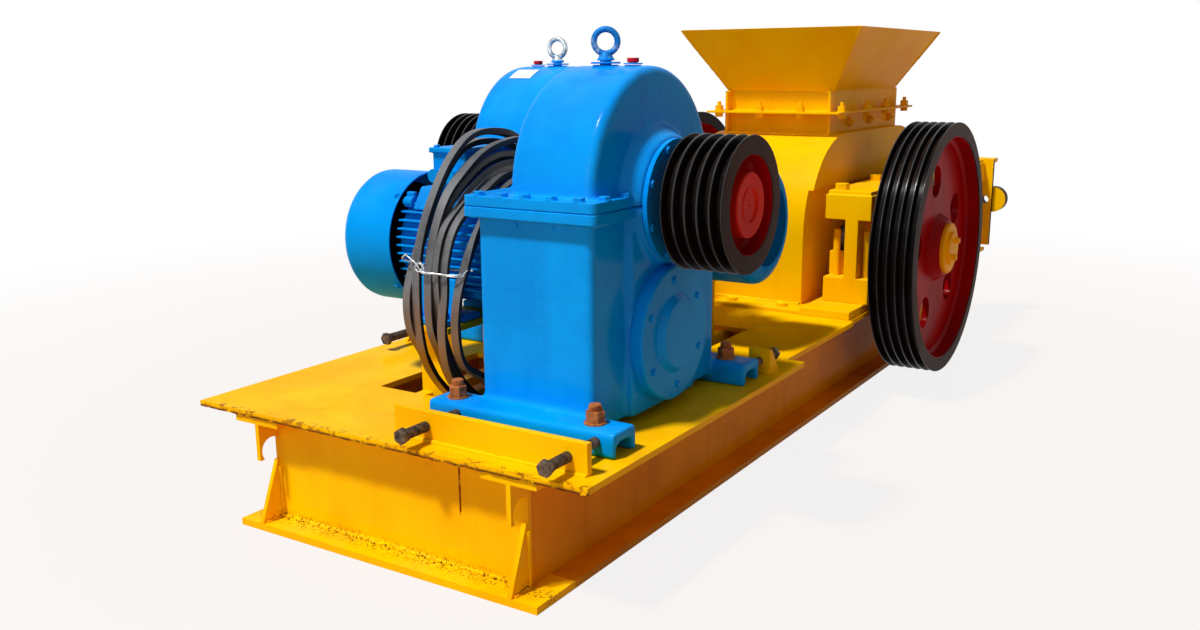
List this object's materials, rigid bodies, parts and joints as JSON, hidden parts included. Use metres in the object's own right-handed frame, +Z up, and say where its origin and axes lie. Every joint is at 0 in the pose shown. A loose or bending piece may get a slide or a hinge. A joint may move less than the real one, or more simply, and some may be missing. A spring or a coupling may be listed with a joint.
{
  "type": "double roll crusher with twin motor drives on a skid",
  "caption": "Double roll crusher on a welded beam skid, with two motor-and-gearbox drives, V-belt pulleys and an open feed hopper.",
  "frame": {"origin": "middle of the underside of the skid, on the bottom flange of the middle cross beam", "axes": "+X along the skid from the drive end to the crusher end, +Y to the far side, +Z up; the roll and pulley axes lie along Y"},
  "size_m": [2.384, 0.9672, 0.857],
  "materials": {
    "yellow_paint": "glossy golden yellow paint over rolled steel",
    "blue_paint": "glossy bright blue paint over castings",
    "zinc": "zinc plated lifting eye",
    "black_rim": "dark machined rim with red hub face",
    "belt_rubber": "dark grey fabric-backed belt",
    "roll_steel": "worn bare steel"
  },
  "bodies": {
    "frame": {"side_beam_near": "yellow_paint", "side_beam_far": "yellow_paint", "end_beam_drive": "yellow_paint", "end_beam_crusher": "yellow_paint", "cross_beams": "yellow_paint", "deck_plate": "yellow_paint", "gearbox_case_1": "blue_paint", "gearbox_cover_1": "blue_paint", "bearing_caps_1": "blue_paint", "lifting_eye_1": "zinc", "jack_plates_1": "yellow_paint", "gearbox_case_2": "blue_paint", "gearbox_cover_2": "blue_paint", "bearing_caps_2": "blue_paint", "lifting_eye_2": "zinc", "jack_plates_2": "yellow_paint", "motor_frame_1": "blue_paint", "fan_cover_1": "blue_paint", "terminal_box_1": "blue_paint", "motor_stool_1": "yellow_paint", "coupling_guard_1": "blue_paint", "motor_frame_2": "blue_paint", "fan_cover_2": "blue_paint", "terminal_box_2": "blue_paint", "motor_stool_2": "yellow_paint", "coupling_guard_2": "blue_paint", "belt_loops_1": "belt_rubber", "belt_loops_2": "belt_rubber", "crusher_housing": "yellow_paint", "housing_foot": "yellow_paint", "throat_box": "yellow_paint", "feed_hopper": "yellow_paint", "rail_pads": "yellow_paint", "bearing_frame_near": "yellow_paint", "bearing_frame_far": "yellow_paint", "bearing_blocks_near": "yellow_paint", "bearing_blocks_far": "yellow_paint", "spring_gear_near": "yellow_paint", "spring_gear_far": "yellow_paint"},
    "small_pulley_1": {"drive_pulley_1": "black_rim"},
    "small_pulley_2": {"drive_pulley_2": "black_rim"},
    "roll_1": {"crushing_roll_1": "roll_steel", "driven_pulley_1": "black_rim"},
    "roll_2": {"crushing_roll_2": "roll_steel", "driven_pulley_2": "black_rim"}
  },
  "joints": [
    {"name": "output_shaft_1", "type": "hinge", "parent": "frame", "child": "small_pulley_1", "pos_m": [-0.814, 0, 0.561], "axis": [0, 1, 0], "continuous": true},
    {"name": "output_shaft_2", "type": "hinge", "parent": "frame", "child": "small_pulley_2", "pos_m": [-0.353, 0, 0.561], "axis": [0, 1, 0], "continuous": true},
    {"name": "roll_shaft_1", "type": "hinge", "parent": "frame", "child": "roll_1", "pos_m": [0.32, 0, 0.336], "axis": [0, 1, 0], "continuous": true},
    {"name": "roll_shaft_2", "type": "hinge", "parent": "frame", "child": "roll_2", "pos_m": [0.644, 0, 0.336], "axis": [0, 1, 0], "continuous": true}
  ]
}
